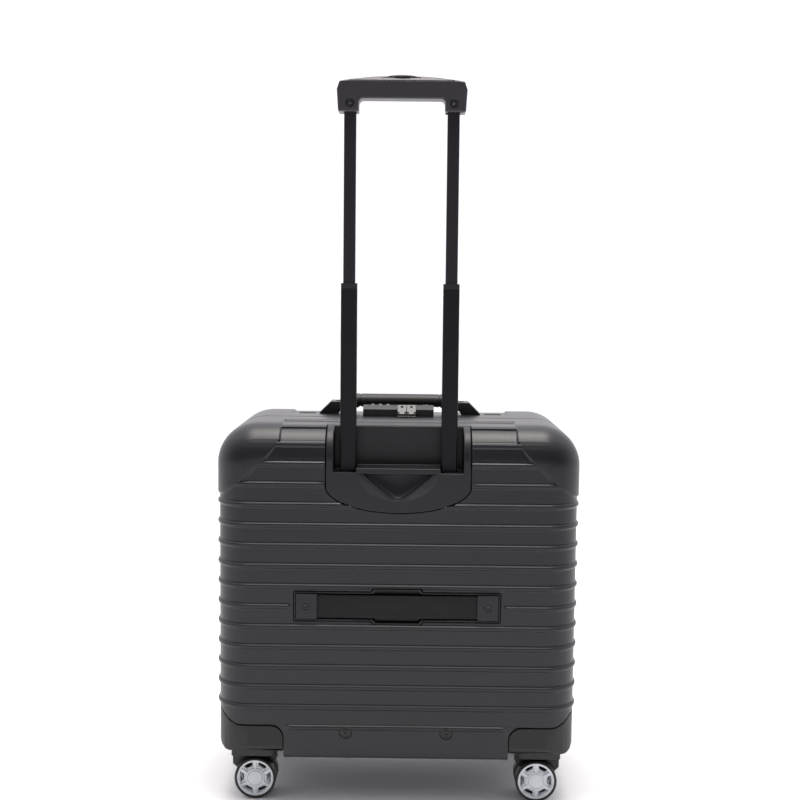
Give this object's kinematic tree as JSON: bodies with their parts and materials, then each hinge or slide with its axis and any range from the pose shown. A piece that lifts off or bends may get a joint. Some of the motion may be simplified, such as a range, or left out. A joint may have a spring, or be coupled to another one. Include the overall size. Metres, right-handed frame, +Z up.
{
  "type": "rolling flight case",
  "caption": "Upright ribbed hard-shell pilot case with a zip round the middle, telescopic handle, strap handle, top handle with dial lock and twin-wheel casters.",
  "frame": {"origin": "on the floor under the middle of the case's bounding box", "axes": "+Z up, -Y towards the telescopic handle's side, +X across the case"},
  "size_m": [0.41, 0.225, 0.8161],
  "materials": {
    "shell": "fine-grained satin charcoal polycarbonate",
    "panel_plastic": "fine-grained moulded plastic",
    "housing_plastic": "fine-grained moulded plastic",
    "handle_plastic": "matt moulded plastic",
    "handle_rubber": "soft-touch overmoulding",
    "grip_plastic": "satin moulded plastic",
    "caster_plastic": "satin moulded nylon",
    "black_tube": "black anodised aluminium tube",
    "bare_aluminium": "plain extruded aluminium",
    "black_metal": "black powder-coated steel",
    "steel": "zinc-plated steel",
    "webbing": "woven nylon webbing",
    "lining": "woven polyester lining",
    "zip_tape": "woven zip tape with moulded teeth",
    "lock_grey": "satin grey die casting",
    "dial": "pale moulded number dial",
    "hub": "pale grey moulded plastic",
    "tyre": "black polyurethane tread"
  },
  "bodies": {
    "rear_case": {"rear_shell": "shell", "handle_panel": "panel_plastic", "strap_tray": "panel_plastic", "strap_webbing": "webbing", "strap_end_caps": "panel_plastic", "strap_screws": "steel", "guide_tubes": "bare_aluminium", "tube_foot_bracket": "panel_plastic", "tube_foot_bolts": "steel", "rear_wheel_housing_left": "housing_plastic", "rear_wheel_housing_right": "housing_plastic", "rear_lining": "lining", "packing_straps": "webbing", "zip_half_rear": "zip_tape", "hinge_leaf_rear": "black_metal", "hinge_pin": "steel", "swivel_bearings_rear": "steel"},
    "front_case": {"front_shell": "shell", "front_wheel_housing_left": "housing_plastic", "front_wheel_housing_right": "housing_plastic", "front_lining": "lining", "handle_brackets": "handle_plastic", "lock_housing": "lock_grey", "zip_half_front": "zip_tape", "hinge_leaf_front": "black_metal", "swivel_bearings_front": "steel"},
    "carry_handle": {"carry_grip": "handle_rubber"},
    "dial_1": {"lock_dial_1": "dial"},
    "dial_2": {"lock_dial_2": "dial"},
    "dial_3": {"lock_dial_3": "dial"},
    "key_barrel": {"lock_key_barrel": "steel"},
    "lock_button": {"lock_release_button": "handle_plastic"},
    "slider_left": {"zip_slider_left": "lock_grey"},
    "slider_right": {"zip_slider_right": "lock_grey"},
    "pull_left": {"zip_pull_left": "lock_grey"},
    "pull_right": {"zip_pull_right": "lock_grey"},
    "lower_stage": {"lower_tubes": "black_tube", "lower_collars": "handle_plastic", "tube_detents": "steel"},
    "upper_stage": {"upper_tubes": "black_tube", "grip_frame": "grip_plastic", "grip_rivets": "steel"},
    "grip_button": {"push_rods": "steel", "release_button": "grip_plastic"},
    "fork_rear_left": {"caster_fork_rear_left": "caster_plastic", "caster_axle_rear_left": "steel"},
    "wheels_rear_left": {"wheel_hubs_rear_left": "hub", "wheel_tyres_rear_left": "tyre"},
    "fork_rear_right": {"caster_fork_rear_right": "caster_plastic", "caster_axle_rear_right": "steel"},
    "wheels_rear_right": {"wheel_hubs_rear_right": "hub", "wheel_tyres_rear_right": "tyre"},
    "fork_front_left": {"caster_fork_front_left": "caster_plastic", "caster_axle_front_left": "steel"},
    "wheels_front_left": {"wheel_hubs_front_left": "hub", "wheel_tyres_front_left": "tyre"},
    "fork_front_right": {"caster_fork_front_right": "caster_plastic", "caster_axle_front_right": "steel"},
    "wheels_front_right": {"wheel_hubs_front_right": "hub", "wheel_tyres_front_right": "tyre"}
  },
  "joints": [
    {"name": "lid_hinge", "type": "hinge", "parent": "rear_case", "child": "front_case", "pos_m": [0, -0.006, 0.049], "axis": [-1, 0, 0], "range_deg": [0, 80]},
    {"name": "lower_stage_slide", "type": "slide", "parent": "rear_case", "child": "lower_stage", "axis": [0, 0, -1], "range_m": [0, 0.198]},
    {"name": "upper_stage_slide", "type": "slide", "parent": "lower_stage", "child": "upper_stage", "axis": [0, 0, -1], "range_m": [0, 0.185]},
    {"name": "grip_button_press", "type": "slide", "parent": "upper_stage", "child": "grip_button", "axis": [0, 0, -1], "range_m": [0, 0.004], "stiffness_N_per_m": 500, "springref_m": -0.003},
    {"name": "carry_handle_lift", "type": "slide", "parent": "front_case", "child": "carry_handle", "axis": [0, 0, 1], "range_m": [0, 0.006]},
    {"name": "dial_1_turn", "type": "hinge", "parent": "front_case", "child": "dial_1", "pos_m": [-0.0324, 0.0174, 0.4404], "axis": [1, 0, 0], "continuous": true},
    {"name": "dial_2_turn", "type": "hinge", "parent": "front_case", "child": "dial_2", "pos_m": [-0.0233, 0.0174, 0.4404], "axis": [1, 0, 0], "continuous": true},
    {"name": "dial_3_turn", "type": "hinge", "parent": "front_case", "child": "dial_3", "pos_m": [-0.0142, 0.0174, 0.4404], "axis": [1, 0, 0], "continuous": true},
    {"name": "key_turn", "type": "hinge", "parent": "front_case", "child": "key_barrel", "pos_m": [0.031, 0.0178, 0.44], "axis": [0, 0, 1], "range_deg": [0, 90]},
    {"name": "lock_button_slide", "type": "slide", "parent": "front_case", "child": "lock_button", "axis": [1, 0, 0], "range_m": [0, 0.002], "stiffness_N_per_m": 200, "springref_m": -0.001},
    {"name": "zip_slide_left", "type": "slide", "parent": "rear_case", "child": "slider_left", "axis": [-1, 0, 0], "range_m": [0, 0.11]},
    {"name": "zip_pull_left_flip", "type": "hinge", "parent": "slider_left", "child": "pull_left", "pos_m": [0.00285, -0.007, 0.4366], "axis": [1, 0, 0], "range_deg": [0, 125]},
    {"name": "zip_slide_right", "type": "slide", "parent": "rear_case", "child": "slider_right", "axis": [1, 0, 0], "range_m": [0, 0.11]},
    {"name": "zip_pull_right_flip", "type": "hinge", "parent": "slider_right", "child": "pull_right", "pos_m": [0.01395, -0.007, 0.4366], "axis": [1, 0, 0], "range_deg": [0, 125]},
    {"name": "swivel_rear_left", "type": "hinge", "parent": "rear_case", "child": "fork_rear_left", "pos_m": [-0.175, -0.075, 0.06], "axis": [0, 0, 1], "continuous": true},
    {"name": "roll_rear_left", "type": "hinge", "parent": "fork_rear_left", "child": "wheels_rear_left", "pos_m": [-0.161, -0.075, 0.024], "axis": [0, 1, 0], "continuous": true},
    {"name": "swivel_rear_right", "type": "hinge", "parent": "rear_case", "child": "fork_rear_right", "pos_m": [0.175, -0.075, 0.06], "axis": [0, 0, 1], "continuous": true},
    {"name": "roll_rear_right", "type": "hinge", "parent": "fork_rear_right", "child": "wheels_rear_right", "pos_m": [0.161, -0.075, 0.024], "axis": [0, 1, 0], "continuous": true},
    {"name": "swivel_front_left", "type": "hinge", "parent": "front_case", "child": "fork_front_left", "pos_m": [-0.175, 0.075, 0.06], "axis": [0, 0, 1], "continuous": true},
    {"name": "roll_front_left", "type": "hinge", "parent": "fork_front_left", "child": "wheels_front_left", "pos_m": [-0.161, 0.075, 0.024], "axis": [0, 1, 0], "continuous": true},
    {"name": "swivel_front_right", "type": "hinge", "parent": "front_case", "child": "fork_front_right", "pos_m": [0.175, 0.075, 0.06], "axis": [0, 0, 1], "continuous": true},
    {"name": "roll_front_right", "type": "hinge", "parent": "fork_front_right", "child": "wheels_front_right", "pos_m": [0.161, 0.075, 0.024], "axis": [0, 1, 0], "continuous": true}
  ]
}
